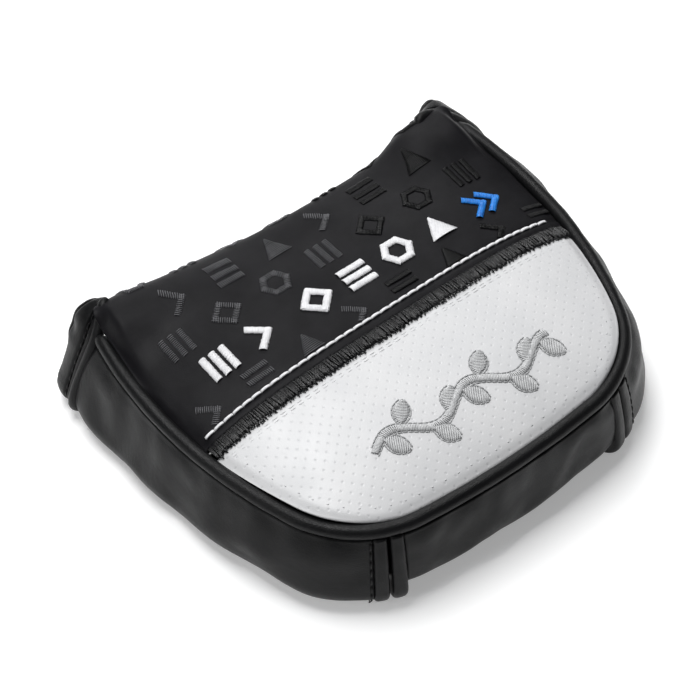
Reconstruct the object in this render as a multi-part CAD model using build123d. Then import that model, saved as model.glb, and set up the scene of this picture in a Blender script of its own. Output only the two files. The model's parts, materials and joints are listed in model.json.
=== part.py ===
"""Cover for a mallet putter head, modelled piece by piece in millimetres.

The cover lies with its decorated panel up.  X runs heel to toe, +Y points to the
folded front edge (the club face side), +Z is up, and the floor is z = 0.
Shell: decorated panel, piping, side gussets, rear gusset, collars and base.
Front flap: folds down from the panel's front edge and closes the mouth.
Closure tongue: carries on under the base, where two pairs of magnets hold it.
Offsets "n" are measured outward from the centre line of the piping.
"""
from build123d import *
from math import atan2, cos, hypot, pi, radians, sin
import os

# ---- plan outline, at the centre of the piping -----------------------------------
PLAN_SHIFT = -3.24       # moves the whole cover so that the origin is mid-depth
SIDE_R = 130.0
SIDE_APEX = (60.2, 22.0)
REAR_R = 250.0
REAR_Y = -45.6
CORNER_R = 30.0
PIPING_END_Y = 44.8      # the piping stops under the collars
# ---- decorated panel -------------------------------------------------------------
PIPING_Z = 25.5
PIPING_R = 1.9
CORD_R = 1.1
CROWN = 7.5              # rise of the panel over the piping
CROWN_Y = 5.0
CROWN_SPAN = 59.0
CROWN_POWER = 4.0        # a flat middle that rounds down to the piping
REAR_SPAN = 50.5
REAR_POWER = 3.0
FRONT_SPAN = 41.0
FRONT_DROP = 0.69        # share of the crown lost at the front fold
EAR_LIFT = 5.0           # the two front corners stand up
T_FACE = 0.8
T_FOAM = 2.2
T_LINING = 1.6
T_PANEL = T_FACE + T_FOAM + T_LINING
PANEL_EDGE = -2.0        # the panel's layers stop this far inside the piping line
EMBROIDERY = 0.5
BAND_Y = (-1.2, 2.6)     # satin-stitched band between the fabric and white panel
STITCH_Y = 5.6
STITCH_W = 0.9
# ---- gussets ---------------------------------------------------------------------
T_LEATHER = 1.3
T_FLEECE = 1.7
SIDE_WALL = dict(n_top=2.2, z_top=23.5, n_max=7.8, r_low=6.2, z_low=6.2, turn=0.26, n_in=-3.0)
REAR_WALL = dict(n_top=2.4, z_top=23.2, n_max=5.0, r_low=5.0, z_low=8.2, turn=0.09, n_in=0.0)
SEAM_TURN = 66.0         # degrees round each rear corner to the side gusset's end
TURN_W = 3.4             # width of each turned, stitched edge
TURN_GAP = 0.5
TURN_PROUD = 0.7
GUSSET_FRONT_Y = 45.0
TAPE_N = (-1.95, -1.1)   # seam allowance hanging inside the top seam
TAPE_Z = (19.6, 23.0)
# ---- base ------------------------------------------------------------------------
BASE_Z = 3.0
BASE_LAYERS = (1.0, 1.0, 1.0)  # leather, board and fleece, from below
BASE_FRONT_Y = 12.0
# ---- front collars ---------------------------------------------------------------
ROLL_Y = 46.7
ROLL_R = 1.5
COLLAR_Y = (48.25, 56.0)
COLLAR_LOW = (3.6, 5.4)  # centre of the lower arc, whose radius is its height
COLLAR_VIA = (1.0, 25.0)
COLLAR_TOP = (-7.6, 29.4)
# ---- front flap and closure tongue -----------------------------------------------
FOLD_HALF = 49.4
FLAP_LOW_HALF = 58.0
FLAP_SHOULDER_Z = (12.0, 9.4)  # the flap widens below the collars' top corners
FOLD_Y = 46.0
FOLD_Z = 23.2
FOLD_GAP = 0.35
FLAP_LOW_Z = 6.2
HEM_GAP = 0.15           # between the hem and the tongue's roll
TONGUE_Z = 2.7
TONGUE_HALF = 28.0
TONGUE_TIP_Y = -8.0
TONGUE_LAYERS = (0.9, 0.8, 0.7)  # leather, board and fleece, from outside
MAGNET_R = 7.0
MAGNET_X = 14.0
MAGNET_Y = 2.0
# ---- embroidery ------------------------------------------------------------------
MOTIF = 8.0
MAIN_Y = 18.6
MAIN_X = (-40.7, -28.0, -10.8, 2.0, 15.0, 28.0)
LAST_X = 43.6
TONAL_ROWS = ((31.0, -46.0, 6), (41.0, -38.0, 5), (9.4, -49.0, 7))
TONAL_PITCH = 15.5
EMBLEM_AT = (1.2, -26.0)
EMBLEM_LEAVES = 7


# ---- plan curves -----------------------------------------------------------------
def on_ray(centre, point, radius):
    """Point at a radius from a centre, in the direction of another point."""
    dx, dy = point[0] - centre[0], point[1] - centre[1]
    k = radius / hypot(dx, dy)
    return centre[0] + dx * k, centre[1] + dy * k


def corner_centre():
    """Centre of the right rear corner arc, tangent to the side and rear arcs."""
    ax, ay, ra = SIDE_APEX[0] - SIDE_R, SIDE_APEX[1], SIDE_R - CORNER_R
    by, rb = REAR_Y + REAR_R, REAR_R - CORNER_R
    d = hypot(ax, by - ay)
    along = (ra**2 - rb**2 + d**2) / (2 * d)
    off = (ra**2 - along**2) ** 0.5
    ux, uy = -ax / d, (by - ay) / d
    return ax + along * ux + off * uy, ay + along * uy - off * ux


def outline(offset=0.0, y_front=PIPING_END_Y, z=0.0):
    """Tangent arcs from the front left end, round the rear, to the front right end."""
    side = (SIDE_APEX[0] - SIDE_R, SIDE_APEX[1])
    rear = (0.0, REAR_Y + REAR_R)
    corner = corner_centre()
    r_side, r_rear, r_corner = SIDE_R + offset, REAR_R + offset, CORNER_R + offset
    front = (side[0] + (r_side**2 - (y_front - side[1]) ** 2) ** 0.5, y_front)
    a = on_ray(side, corner, r_side)
    b = on_ray(rear, corner, r_rear)
    side_mid = on_ray(side, ((front[0] + a[0]) / 2, (front[1] + a[1]) / 2), r_side)
    corner_mid = on_ray(corner, ((a[0] + b[0]) / 2, (a[1] + b[1]) / 2), r_corner)
    right = [(front, side_mid, a), (a, corner_mid, b)]
    left = [[(-x, y) for x, y in arc] for arc in right]
    rear_arc = (left[1][2], (0.0, rear[1] - r_rear), b)
    rows = [*left, rear_arc, *[arc[::-1] for arc in right[::-1]]]
    return [ThreePointArc(*[(x, y, z) for x, y in row]) for row in rows]


def prism(offset, y_front, z0, z1):
    """Solid under the outline, closed by a straight front edge."""
    arcs = outline(offset, y_front, z0)
    closing = Line(arcs[-1] @ 1, arcs[0] @ 0)
    return extrude(make_face(arcs + [closing]), z1 - z0, dir=(0, 0, 1))


def swept(section, z=0.0, y_front=PIPING_END_Y):
    """Sweep a section drawn in (outward, up) along the outline."""
    path = Wire(outline(0.0, y_front, z))
    plane = Plane(origin=path @ 0, x_dir=(-1, 0, 0), z_dir=-(path % 0))
    return sweep(plane * section, path=path)


def block(x, y, z):
    """Axis-aligned box from its three ranges."""
    size = [r[1] - r[0] for r in (x, y, z)]
    return Pos(*[(r[0] + r[1]) / 2 for r in (x, y, z)]) * Box(*size)


def both_sides(solid):
    """The left piece and its mirror image on the right."""
    return solid, mirror(solid, about=Plane.YZ)


# ---- the panel's surface ---------------------------------------------------------
def panel_height(x, y):
    """Height of the panel's outer surface: crowned, saddle-shaped at the front."""
    across = 1 - abs(x / CROWN_SPAN) ** CROWN_POWER
    if y < CROWN_Y:
        along = 1 - ((CROWN_Y - y) / REAR_SPAN) ** REAR_POWER
    else:
        along = 1 - FRONT_DROP * ((y - CROWN_Y) / FRONT_SPAN) ** 2
    ear = max(0.0, (abs(x) - 22) / 30) ** 2 * max(0.0, (y - 16) / 34) ** 2
    return PIPING_Z + CROWN * across * along + EAR_LIFT * ear


def panel_surface(lift):
    """The panel's surface as one smooth face, raised or lowered."""
    xs = [-66 + 132 * i / 22 for i in range(23)]
    ys = [-54 + 110 * j / 18 for j in range(19)]
    rows = [[(x, y, panel_height(x, y) + lift) for y in ys] for x in xs]
    return Face.make_surface_from_array_of_points(rows, tol=0.01)


def panel_layer(depth, thickness):
    """One layer of the panel before it is trimmed to its plan shape."""
    return extrude(panel_surface(-depth), -thickness, dir=(0, 0, 1))


def trimmed(layer, trim):
    """A panel layer cut to the outline, clear of the fold roll and the collars."""
    roll = Pos(0, FOLD_Y, FOLD_Z) * Rot(0, 90, 0) * Cylinder(T_PANEL + FOLD_GAP, 140)
    front = block((-70, 70), (FOLD_Y - 0.5 * T_PANEL, 70), (0, 60))
    return (layer & trim) - roll - front


# ---- wall sections ---------------------------------------------------------------
def wall_section(d0, d1, n_top, z_top, n_max, r_low, z_low, turn, n_in):
    """Flared wall layer between depths d0 and d1 below its outer face.

    A long upper arc runs into a lower arc, tangent to it, "turn" radians above level.
    """
    c_low = (n_max - r_low, z_low)
    ux, uy = cos(turn), sin(turn)
    vx, vy = n_top - c_low[0], z_top - c_low[1]
    dot = vx * ux + vy * uy
    r_up = (vx**2 + vy**2 - 2 * r_low * dot + r_low**2) / (2 * (r_low - dot))
    c_up = (c_low[0] - (r_up - r_low) * ux, c_low[1] - (r_up - r_low) * uy)
    top = atan2(z_top - c_up[1], n_top - c_up[0])
    runs = []
    for d in (d0, d1):
        run = [arc_of(c_up, r_up - d, top, turn), arc_of(c_low, r_low - d, turn, -pi / 2)]
        if n_in < c_low[0] - 0.01:
            run.append(Line(run[-1] @ 1, (n_in, z_low - r_low + d)))
        runs.append(run)
    caps = [Line(runs[0][0] @ 0, runs[1][0] @ 0), Line(runs[0][-1] @ 1, runs[1][-1] @ 1)]
    return make_face(runs[0] + runs[1] + caps)


def arc_of(centre, radius, start, end):
    """Arc between two angles in radians."""
    angles = (start, (start + end) / 2, end)
    return ThreePointArc(*[(centre[0] + radius * cos(a), centre[1] + radius * sin(a)) for a in angles])


def rect(n0, n1, z0, z1):
    """Rectangle in (outward, up)."""
    return Pos((n0 + n1) / 2, (z0 + z1) / 2) * Rectangle(n1 - n0, z1 - z0)


# ---- embroidery shapes, all plain geometry ---------------------------------------
def bars(count, w, h):
    """Parallel upright bars."""
    step = w / (count - 0.5)
    return [Pos(-w / 2 + step * (i + 0.25), 0) * Rectangle(step / 2, h) for i in range(count)]


def ring(sides, r, t):
    """Polygon ring."""
    return [RegularPolygon(r, sides) - RegularPolygon(r - t, sides)]


def chevron(w, h, t):
    """Arrow-like angle pointing along +X."""
    pts = [(-w / 2, h / 2), (-w / 2 + t, h / 2), (w / 2, 0), (-w / 2 + t, -h / 2),
           (-w / 2, -h / 2), (w / 2 - t, 0)]
    return [make_face(Polyline(*pts, close=True))]


def wedge(w, h):
    """Plain triangle."""
    return [make_face(Polyline((-w / 2, -h / 2), (w / 2, -h / 2), (0, h / 2), close=True))]


def motif(kind, s):
    """One of six plain geometric motifs in a square of side s."""
    shapes = (
        lambda: bars(3, s, s),
        lambda: chevron(s * 0.8, s, s * 0.3),
        lambda: ring(4, s * 0.62, s * 0.24),
        lambda: [Rot(0, 0, 90) * f for f in bars(3, s, s)],
        lambda: ring(6, s * 0.55, s * 0.22),
        lambda: wedge(s, s * 0.9),
    )
    return shapes[kind % len(shapes)]()


def patch(faces, trim):
    """Embroidery: the faces raised from the panel's surface."""
    columns = Part() + [extrude(Pos(0, 0, 10) * f, 40) for f in faces]
    return trimmed(panel_layer(-EMBROIDERY, EMBROIDERY) & columns, trim)


def placed(faces, x, y, turn=0):
    """Faces moved to a place on the panel."""
    return [Pos(x, y) * Rot(0, 0, turn) * f for f in faces]


def emblem():
    """A wavy stem with leaves on both sides."""
    ex, ey = EMBLEM_AT
    stem = Polyline(*[(ex - 28 + 4 * i, ey + 1.6 * sin(i * 1.25)) for i in range(15)])
    faces = [trace(stem, 1.2)]
    for i in range(EMBLEM_LEAVES):
        side = 1 if i % 2 else -1
        leaf = Rot(0, 0, 35 * side) * Ellipse(4.4, 1.7)
        faces.append(Pos(ex - 23 + 7.4 * i, ey + 4.2 * side) * leaf)
    return faces


# ---- build -----------------------------------------------------------------------
parts = {}
plan = prism(PANEL_EDGE, 52.0, -5, 60)

# decorated panel, from its face down
face_layer = panel_layer(0, T_FACE)
parts["face_fabric"] = trimmed(face_layer & block((-70, 70), (BAND_Y[1], 70), (0, 60)), plan)
parts["white_panel"] = trimmed(face_layer & block((-70, 70), (-70, BAND_Y[0]), (0, 60)), plan)
parts["satin_band"] = trimmed(face_layer & block((-70, 70), BAND_Y, (0, 60)), plan)
parts["panel_foam"] = trimmed(panel_layer(T_FACE, T_FOAM), plan)
parts["panel_lining"] = trimmed(panel_layer(T_FACE + T_FOAM, T_LINING), plan)
line_box = [Pos(0, STITCH_Y) * Rectangle(130, STITCH_W)]
parts["contrast_stitch"] = patch(line_box, plan)
white = [f for i, x in enumerate(MAIN_X) for f in placed(motif(i, MOTIF), x, MAIN_Y)]
parts["motifs_white"] = patch(white, plan)
parts["motif_blue"] = patch(placed(chevron(4, MOTIF, 2), LAST_X - 2, MAIN_Y)
                            + placed(chevron(4, MOTIF, 2), LAST_X + 2, MAIN_Y), plan)
tonal = []
for row, (y, x0, count) in enumerate(TONAL_ROWS):
    for i in range(count):
        if row < 2 or i % 2 == 0:
            tonal += placed(motif(i + 2 * row + 1, MOTIF - 1.5), x0 + i * TONAL_PITCH, y)
parts["motifs_tonal"] = patch(tonal, prism(PANEL_EDGE, 43.0, -5, 60)
                              - block((-70, 70), (0, STITCH_Y + 0.6), (0, 60)))
parts["emblem_grey"] = patch(emblem(), plan)

# piping and the seam allowance behind it
parts["piping_cover"] = swept(Circle(PIPING_R) - Circle(CORD_R), PIPING_Z)
parts["piping_cord"] = swept(Circle(CORD_R), PIPING_Z)
parts["seam_tape"] = swept(rect(*TAPE_N, *TAPE_Z))

# side and rear gussets, meeting at a turned and stitched edge on each rear corner
d_in = T_LEATHER + T_FLEECE
side_leather = swept(wall_section(0, T_LEATHER, **SIDE_WALL), y_front=48)
side_fleece = swept(wall_section(T_LEATHER, d_in, **SIDE_WALL), y_front=48)
side_thick = swept(wall_section(-TURN_PROUD, d_in, **{**SIDE_WALL, "n_in": 1.6}))
rear_leather = swept(wall_section(0, T_LEATHER, **REAR_WALL))
rear_fleece = swept(wall_section(T_LEATHER, d_in, **REAR_WALL))
kx, ky = corner_centre()
seam = radians(SEAM_TURN)
seam_point = (-kx - CORNER_R * cos(seam), ky - CORNER_R * sin(seam))
station = Plane(origin=(*seam_point, 0), x_dir=(sin(seam), -cos(seam), 0), z_dir=(0, 0, 1))


def slab(x0, x1):
    """Everything at the left seam between two distances along the outline."""
    return station * block((x0, x1), (-20, 60), (0, 60))


side_zone = block((-90, 0), (-90, GUSSET_FRONT_Y), (-5, 60)) - slab(-TURN_W, 90)
rear_zone = slab(TURN_GAP + TURN_W, 90) & mirror(slab(TURN_GAP + TURN_W, 90), about=Plane.YZ)
near_seam = block((-60, 0), (-60, -20), (-5, 60))
pairs = {
    "gusset": side_leather & side_zone,
    "gusset_lining": side_fleece & side_zone,
    "turned_edge": side_thick & slab(-TURN_W, 0) & near_seam,
    "rear_binding": side_thick & slab(TURN_GAP, TURN_GAP + TURN_W) & near_seam,
}
parts["rear_gusset"] = rear_leather & rear_zone
parts["rear_gusset_lining"] = rear_fleece & rear_zone


# front collars: the hemmed ends of the side gussets, each with a rolled edge
front_x = -(outline(0, ROLL_Y)[-1] @ 1).X


def collar_run(d, start=-pi / 2):
    """Line of the collar at depth d, from the base flange to the top corner."""
    low = arc_of(COLLAR_LOW, COLLAR_LOW[1] - d, start, 0)
    side = TangentArc(low @ 1, (COLLAR_VIA[0] - 0.7 * d, COLLAR_VIA[1] - 0.7 * d), tangent=(0, 1))
    top = TangentArc(side @ 1, (COLLAR_TOP[0] - 0.15 * d, COLLAR_TOP[1] - d), tangent=side % 1)
    return [low, side, top]


def collar_plane(y):
    """Section plane of the left collar."""
    return Plane(origin=(front_x, y, 0), x_dir=(-1, 0, 0), z_dir=(0, 1, 0))


def collar_layer(d0, d1):
    """One layer of the left collar, pulled forward, with a raked front edge."""
    a, b = collar_run(d0), collar_run(d1)
    caps = [Line(a[0] @ 0, b[0] @ 0), Line(a[-1] @ 1, b[-1] @ 1)]
    face = collar_plane(COLLAR_Y[0]) * make_face(a + b + caps)
    rake = Pos(front_x, COLLAR_Y[1], 10) * Rot(8, 0, 0) * block((-40, 40), (0, 30), (-60, 60))
    return extrude(face, COLLAR_Y[1] - COLLAR_Y[0] + 3, dir=(0, 1, 0)) - rake


pairs["collar"] = collar_layer(0, T_LEATHER)
pairs["collar_lining"] = collar_layer(T_LEATHER, d_in)
roll_path = collar_plane(ROLL_Y) * Wire(collar_run(1.0, start=-pi / 3))
roll_start = Plane(origin=roll_path @ 0, z_dir=roll_path % 0)
pairs["collar_roll"] = sweep(roll_start * Circle(ROLL_R - 0.03), path=roll_path)

for name, solid in pairs.items():
    parts["left_" + name], parts["right_" + name] = both_sides(solid)

# base: leather, board and fleece, with a magnet pair let into the board
z = BASE_Z
discs = [Pos(s * MAGNET_X, MAGNET_Y) * Circle(MAGNET_R) for s in (-1, 1)]
for name, t in zip(("base_leather", "base_board", "base_lining"), BASE_LAYERS):
    layer = prism(0, BASE_FRONT_Y, z, z + t)
    if name == "base_board":
        keepers = extrude(Pos(0, 0, z) * (Sketch() + discs), t)
        layer -= keepers
        parts["base_keepers"] = keepers
    parts[name] = layer
    z += t

# front flap: three concentric layers that roll over the fold and hang down
high_z, low_z = FLAP_SHOULDER_Z
edge = [(FOLD_HALF, FOLD_Z), (FOLD_HALF, high_z), (FLAP_LOW_HALF, low_z), (FLAP_LOW_HALF, FLAP_LOW_Z)]
flap_face = make_face(Polyline(*edge, *[(-x, h) for x, h in edge[::-1]], close=True))
flap_shape = extrude(Plane.XZ * flap_face, 100, both=True)
r = T_PANEL
for name, t in (("flap_fabric", T_FACE), ("flap_foam", T_FOAM), ("flap_lining", T_LINING)):
    fold = Cylinder(r, 2 * FOLD_HALF)
    if name != "flap_lining":
        fold -= Cylinder(r - t, 2 * FOLD_HALF)
    fold = Pos(0, FOLD_Y, FOLD_Z) * Rot(0, 90, 0) * fold
    upper = block((-60, 60), (FOLD_Y - 20, FOLD_Y + 20), (FOLD_Z, FOLD_Z + 20))
    wall = flap_shape & block((-60, 60), (FOLD_Y + r - t, FOLD_Y + r), (0, FOLD_Z))
    parts[name] = (fold & upper) + wall
    r -= t

# closure tongue: three layers that roll under the front edge and lie below the base
out = FOLD_Y + T_PANEL
hinge_y = out - sum(TONGUE_LAYERS)
r = out - hinge_y
roll_room = Cylinder(r + HEM_GAP, 2 * TONGUE_HALF + 1)
parts["flap_hem"] = (block((-FLAP_LOW_HALF, FLAP_LOW_HALF), (hinge_y, out), (TONGUE_Z, FLAP_LOW_Z))
                     - Pos(0, hinge_y, TONGUE_Z) * Rot(0, 90, 0) * roll_room)
tongue_x = (-TONGUE_HALF, TONGUE_HALF)
for name, t in zip(("tongue_leather", "tongue_board", "tongue_lining"), TONGUE_LAYERS):
    roll = Cylinder(r, 2 * TONGUE_HALF)
    if name != "tongue_lining":
        roll -= Cylinder(r - t, 2 * TONGUE_HALF)
    roll = Pos(0, hinge_y, TONGUE_Z) * Rot(0, 90, 0) * roll
    front = block(tongue_x, (hinge_y, hinge_y + 9), (TONGUE_Z - 9, TONGUE_Z + 9))
    strap = block(tongue_x, (TONGUE_TIP_Y, hinge_y), (TONGUE_Z - r, TONGUE_Z - r + t))
    layer = (roll & front) + strap
    if name == "tongue_board":
        magnets = extrude(Pos(0, 0, TONGUE_Z - r) * (Sketch() + discs), t)
        layer -= magnets
        parts["tongue_magnets"] = magnets
    parts[name] = layer
    r -= t

os.makedirs("parts", exist_ok=True)
for name, solid in parts.items():
    export_step(Pos(0, PLAN_SHIFT, 0) * solid, f"parts/{name}.step")
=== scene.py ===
import bpy
import json
import numpy as np
from math import asin, atan2, cos, hypot, pi, radians, sin, sqrt
from mathutils import Matrix, Vector, noise


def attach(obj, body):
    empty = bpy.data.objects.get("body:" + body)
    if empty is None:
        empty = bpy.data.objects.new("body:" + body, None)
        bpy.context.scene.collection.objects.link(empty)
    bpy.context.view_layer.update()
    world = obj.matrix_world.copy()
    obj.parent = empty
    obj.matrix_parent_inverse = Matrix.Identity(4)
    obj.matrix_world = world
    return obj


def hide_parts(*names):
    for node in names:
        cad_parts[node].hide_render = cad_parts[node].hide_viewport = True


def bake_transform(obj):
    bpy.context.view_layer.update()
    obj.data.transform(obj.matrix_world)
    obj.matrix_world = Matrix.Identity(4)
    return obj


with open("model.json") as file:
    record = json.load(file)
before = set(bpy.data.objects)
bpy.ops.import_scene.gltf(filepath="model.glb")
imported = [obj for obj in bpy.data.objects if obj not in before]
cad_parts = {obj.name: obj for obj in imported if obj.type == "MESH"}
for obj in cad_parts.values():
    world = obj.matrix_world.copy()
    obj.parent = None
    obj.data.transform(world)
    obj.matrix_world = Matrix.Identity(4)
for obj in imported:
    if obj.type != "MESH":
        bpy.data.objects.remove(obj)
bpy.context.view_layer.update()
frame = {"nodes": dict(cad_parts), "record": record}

RNG = np.random.default_rng(7)

# ---- dimensions in millimetres, as in the CAD ------------------------------------
# The fold is a round edge of radius FOLD_R; the panel leaves its crown at BEND_Y and reaches
# the front wall at FRONT_Y over a bend BEND_LENGTH times its chord.  SHIFT moves y onto the frame.
JOINTS = {j["name"]: j for j in frame["record"]["behaviour"]["joints"]}
FOLD_Y, FOLD_Z, FOLD_R = 46.0, 23.2, 4.6
BEND_Y, BEND_LENGTH = 42.0, 1.1
FRONT_Y = FOLD_Y + FOLD_R + 0.2
SHIFT = JOINTS["front_fold"]["pos_m"][1] * 1000 - FOLD_Y
SIDE_R, SIDE_APEX = 130.0, (60.2, 22.0)
REAR_R, REAR_Y, CORNER_R = 250.0, -45.6, 30.0
PIPING_Z, PIPING_R, PIPING_END_Y = 25.5, 1.9, 44.8
CROWN, CROWN_Y, CROWN_SPAN, CROWN_POWER = 7.5, 5.0, 59.0, 4.0
REAR_SPAN, REAR_POWER, FRONT_SPAN, FRONT_DROP, EAR_LIFT = 50.5, 3.0, 41.0, 0.69, 5.4
BAND = (-1.2, 2.6)
PANEL_INSET = 1.4

# Wall layers are depths below the leather's face; SIDES gives the sign of x.
LEATHER_BACK, FLEECE_FACE, FLEECE_BACK = 1.25, 1.35, 3.0
SIDES = {"left": -1, "right": 1}


# ---- mesh helpers ----------------------------------------------------------------
def to_metres(points):
    """Points in millimetres to metres in the frame."""
    p = np.asarray(points, float).reshape(-1, 3).copy()
    p[:, 1] += SHIFT
    return p / 1000


def mesh_object(name, points, faces, material, uv=None):
    mesh = bpy.data.meshes.new(name)
    mesh.from_pydata(to_metres(points).tolist(), [], [list(map(int, f)) for f in faces])
    mesh.validate()
    mesh.polygons.foreach_set("use_smooth", [True] * len(mesh.polygons))
    if uv is not None:
        layer = mesh.uv_layers.new(name="UVMap")
        index = np.empty(len(mesh.loops), int)
        mesh.loops.foreach_get("vertex_index", index)
        layer.data.foreach_set("uv", np.asarray(uv, float)[index].ravel())
    mesh.materials.append(material)
    obj = bpy.data.objects.new(name, mesh)
    bpy.context.scene.collection.objects.link(obj)
    return obj


def grid_faces(nu, nv, wrap_v=False, base=0):
    """Quads of a grid of nu by nv points, closed round v if wanted."""
    i, j = np.meshgrid(np.arange(nu - 1), np.arange(nv if wrap_v else nv - 1), indexing="ij")
    k = (j + 1) % nv
    quads = np.stack([i * nv + j, (i + 1) * nv + j, (i + 1) * nv + k, i * nv + k], -1)
    return (quads.reshape(-1, 4) + base).tolist()


def slab(name, outer, inner, material, uv=None):
    """A closed sheet between two grids of points of the same shape."""
    nu, nv = outer.shape[:2]
    n = nu * nv
    faces = [f[::-1] for f in grid_faces(nu, nv)] + grid_faces(nu, nv, base=n)
    edge = [(i, 0) for i in range(nu)] + [(nu - 1, j) for j in range(1, nv)]
    edge += [(i, nv - 1) for i in range(nu - 2, -1, -1)] + [(0, j) for j in range(nv - 2, 0, -1)]
    ring = [i * nv + j for i, j in edge]
    for a, b in zip(ring, ring[1:] + ring[:1]):
        faces.append([a, b, b + n, a + n])
    points = np.concatenate([outer.reshape(-1, 3), inner.reshape(-1, 3)])
    if uv is not None:
        uv = np.concatenate([uv.reshape(-1, 2)] * 2)
    return mesh_object(name, points, faces, material, uv=uv)


def frames_along(path):
    """Side and up vectors along a polyline, carried without twist."""
    t = np.gradient(path, axis=0)
    t /= np.linalg.norm(t, axis=1)[:, None]
    side = np.cross(t[0], (0, 0, 1.0))
    if np.linalg.norm(side) < 1e-6:
        side = np.array((1.0, 0, 0))
    sides = []
    for k in range(len(path)):
        side = side - t[k] * (side @ t[k])
        side /= np.linalg.norm(side)
        sides.append(side.copy())
    sides = np.array(sides)
    return sides, np.cross(sides, t)


def rings(path, radius, sides):
    """Rings of points round a polyline; radius may vary along it."""
    r = np.broadcast_to(np.asarray(radius, float), (len(path),))
    a, b = frames_along(path)
    ang = np.linspace(0, 2 * pi, sides, endpoint=False)
    ring = a[:, None] * np.cos(ang)[None, :, None] + b[:, None] * np.sin(ang)[None, :, None]
    return (path[:, None] + ring * r[:, None, None]).reshape(-1, 3)


def tube(name, path, radius, material, sides):
    """Round capped tube along a polyline."""
    faces = grid_faces(len(path), sides, wrap_v=True)
    n = len(path) * sides
    points = np.concatenate([rings(path, radius, sides), [path[0]], [path[-1]]])
    last = (len(path) - 1) * sides
    for k in range(sides):
        m = (k + 1) % sides
        faces.append([k, m, n])
        faces.append([n + 1, last + m, last + k])
    return mesh_object(name, points, [f[::-1] for f in faces], material)


def smooth_path(points, count):
    """Catmull-Rom curve through points, evenly spaced."""
    p = np.asarray(points, float)
    p = np.concatenate([[2 * p[0] - p[1]], p, [2 * p[-1] - p[-2]]])
    out = []
    for k in range(1, len(p) - 2):
        for t in np.linspace(0, 1, 24, endpoint=False):
            a, b, c, d = p[k - 1:k + 3]
            out.append(0.5 * (2 * b + (c - a) * t + (2 * a - 5 * b + 4 * c - d) * t**2
                              + (3 * b - a - 3 * c + d) * t**3))
    out.append(p[-2])
    return resample(np.array(out), count)


def travelled(path):
    """Distance from the start at each point of a polyline."""
    return np.concatenate([[0], np.cumsum(np.linalg.norm(np.diff(path, axis=0), axis=1))])


def points_at(path, s, q):
    """Points at distances q, for a polyline whose own points lie at distances s."""
    return np.stack([np.interp(q, s, path[:, k]) for k in range(path.shape[1])], 1)


def resample(path, count):
    """Points evenly spaced along a polyline."""
    s = travelled(path)
    return points_at(path, s, np.linspace(0, s[-1], count))


def smoothstep(a, b, v):
    t = np.clip((np.asarray(v, float) - a) / (b - a), 0, 1)
    return t * t * (3 - 2 * t)


def bell(v, centre, width):
    return np.exp(-((v - centre) / width) ** 2)


def rough(points, seed=0.0):
    """Smooth repeatable noise at each point, about -1 to 1, in the points' own shape."""
    points = np.asarray(points, float)
    shift = Vector((seed, seed * 1.7, 0))
    values = [noise.noise(Vector(p) + shift) for p in points.reshape(-1, 3)]
    return np.array(values).reshape(points.shape[:-1])


def ripple(x, y, size, seed=0.0):
    """Noise over two coordinates, with waves of about size; size may be a pair."""
    a, b = size if hasattr(size, "__len__") else (size, size)
    return rough(np.stack([x / a, y / b, 0 * x], -1), seed)


# ---- plan outline ----------------------------------------------------------------
def corner_centre():
    ax, ay, ra = SIDE_APEX[0] - SIDE_R, SIDE_APEX[1], SIDE_R - CORNER_R
    by, rb = REAR_Y + REAR_R, REAR_R - CORNER_R
    d = hypot(ax, by - ay)
    along = (ra**2 - rb**2 + d**2) / (2 * d)
    off = sqrt(ra**2 - along**2)
    ux, uy = -ax / d, (by - ay) / d
    return ax + along * ux + off * uy, ay + along * uy - off * ux


KX, KY = corner_centre()
A_REAR = atan2(KX, (REAR_Y + REAR_R) - KY)
A_SIDE = atan2(SIDE_APEX[1] - KY, KX - (SIDE_APEX[0] - SIDE_R))
L_REAR = REAR_R * A_REAR
L_CORNER = CORNER_R * (pi / 2 - A_REAR - A_SIDE)


def plan(s, n=0.0):
    """Points and outward normals at arc length s from the rear centre (left is negative)."""
    s = np.atleast_1d(np.asarray(s, float))
    a = np.abs(s)
    rear = -pi / 2 + a / REAR_R
    corner = -pi / 2 + A_REAR + (a - L_REAR) / CORNER_R
    side = -A_SIDE + (a - L_REAR - L_CORNER) / SIDE_R
    ang = np.where(a < L_REAR, rear, np.where(a < L_REAR + L_CORNER, corner, side))
    cx = np.where(a < L_REAR, 0.0, np.where(a < L_REAR + L_CORNER, KX, SIDE_APEX[0] - SIDE_R))
    cy = np.where(a < L_REAR, REAR_Y + REAR_R, np.where(a < L_REAR + L_CORNER, KY, SIDE_APEX[1]))
    r = np.where(a < L_REAR, REAR_R, np.where(a < L_REAR + L_CORNER, CORNER_R, SIDE_R))
    sign = np.where(s < 0, -1.0, 1.0)
    nx, ny = np.cos(ang) * sign, np.sin(ang)
    x = (cx + (r + n) * np.cos(ang)) * sign
    y = cy + (r + n) * np.sin(ang)
    return x, y, nx, ny


def s_at_y(y):
    """Arc length on the side arc at a given y."""
    return L_REAR + L_CORNER + SIDE_R * (asin((y - SIDE_APEX[1]) / SIDE_R) + A_SIDE)


S_FRONT = s_at_y(PIPING_END_Y)
S_SEAM = L_REAR + CORNER_R * (radians(90 - 66.0) - A_REAR)


def half_width(y, n=0.0):
    """Half the plan's width at y, for the side and corner arcs."""
    y = np.asarray(y, float)
    side = SIDE_APEX[0] - SIDE_R + np.sqrt(np.maximum((SIDE_R + n) ** 2 - (y - SIDE_APEX[1]) ** 2, 0))
    corner = KX + np.sqrt(np.maximum((CORNER_R + n) ** 2 - (y - KY) ** 2, 0))
    y_join = SIDE_APEX[1] - SIDE_R * sin(A_SIDE)
    return np.where(y > y_join, side, corner)


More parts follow.
